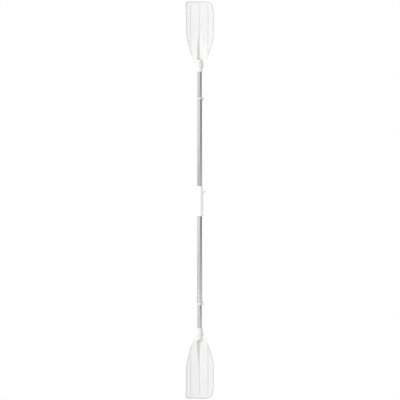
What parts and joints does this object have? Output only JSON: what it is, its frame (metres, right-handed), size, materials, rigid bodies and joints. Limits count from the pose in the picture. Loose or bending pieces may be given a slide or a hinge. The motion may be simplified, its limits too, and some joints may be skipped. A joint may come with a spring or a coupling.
{
  "type": "kayak paddle",
  "caption": "Take-apart kayak paddle: two ribbed, off-square plastic blades on telescoping metal tubes, held end to end by a plastic joiner with a cam lever.",
  "frame": {"origin": "on the shaft's axis at the middle of the joiner, 7.5 mm below the point half-way between the blades' tips", "axes": "+Z along the shaft towards the upper blade, -Y the way both blades' power faces look, +X the side of the lever, the snap buttons and the collars' lugs"},
  "size_m": [0.1748, 0.046, 2.4402],
  "materials": {
    "blade_plastic": "translucent natural polyethylene, satin",
    "white_plastic": "white moulded, satin",
    "plug_plastic": "grey moulded, matt",
    "tube_aluminium": "drawn tube, clear anodised",
    "bright_steel": "stainless, fine brushed"
  },
  "bodies": {
    "lower_shaft": {"lower_grip_tube": "tube_aluminium", "lower_collar": "white_plastic", "lower_grip_plug": "plug_plastic", "joiner_spring": "bright_steel"},
    "joiner": {"joiner_sleeve": "white_plastic", "lever_pin": "bright_steel"},
    "joiner_button": {"joiner_button": "bright_steel"},
    "clamp_lever": {"clamp_lever": "white_plastic"},
    "pressure_pad": {"pressure_pad": "plug_plastic"},
    "upper_shaft": {"upper_grip_tube": "tube_aluminium", "upper_collar": "white_plastic", "upper_grip_plug": "plug_plastic"},
    "upper_blade_section": {"upper_blade": "blade_plastic", "upper_blade_screw": "bright_steel", "upper_blade_tube": "tube_aluminium", "upper_blade_tube_plug": "plug_plastic", "upper_snap_spring": "bright_steel"},
    "upper_button": {"upper_snap_button": "bright_steel"},
    "lower_blade_section": {"lower_blade": "blade_plastic", "lower_blade_screw": "bright_steel", "lower_blade_tube": "tube_aluminium", "lower_blade_tube_plug": "plug_plastic", "lower_snap_spring": "bright_steel"},
    "lower_button": {"lower_snap_button": "bright_steel"}
  },
  "joints": [
    {"name": "joiner_pull", "type": "slide", "parent": "lower_shaft", "child": "joiner", "axis": [0, 0, 1], "range_m": [0, 0.096]},
    {"name": "joiner_button_press", "type": "slide", "parent": "lower_shaft", "child": "joiner_button", "axis": [-1, 0, 0], "range_m": [0, 0.0095], "stiffness_N_per_m": 600, "springref_m": -0.003, "deforming": ["joiner_spring"]},
    {"name": "lever_open", "type": "hinge", "parent": "joiner", "child": "clamp_lever", "pos_m": [0.0283, 0, 0.059], "axis": [0, -1, 0], "range_deg": [0, 110]},
    {"name": "pad_release", "type": "slide", "parent": "joiner", "child": "pressure_pad", "axis": [1, 0, 0], "range_m": [0, 0.0008]},
    {"name": "feather_turn", "type": "hinge", "parent": "joiner", "child": "upper_shaft", "pos_m": [0, 0, 0.05], "axis": [0, 0, 1], "range_deg": [-90, 90]},
    {"name": "upper_blade_pull", "type": "slide", "parent": "upper_shaft", "child": "upper_blade_section", "axis": [0, 0, 1], "range_m": [0, 0.132]},
    {"name": "upper_button_press", "type": "slide", "parent": "upper_blade_section", "child": "upper_button", "axis": [-1, 0, 0], "range_m": [0, 0.007], "stiffness_N_per_m": 600, "springref_m": -0.003, "deforming": ["upper_snap_spring"]},
    {"name": "lower_blade_pull", "type": "slide", "parent": "lower_shaft", "child": "lower_blade_section", "axis": [0, 0, -1], "range_m": [0, 0.132]},
    {"name": "lower_button_press", "type": "slide", "parent": "lower_blade_section", "child": "lower_button", "axis": [-1, 0, 0], "range_m": [0, 0.007], "stiffness_N_per_m": 600, "springref_m": -0.003, "deforming": ["lower_snap_spring"]}
  ],
  "couplings": [
    {"joint": "pad_release", "follows": "lever_open", "m_per_rad": 0.0004166}
  ]
}
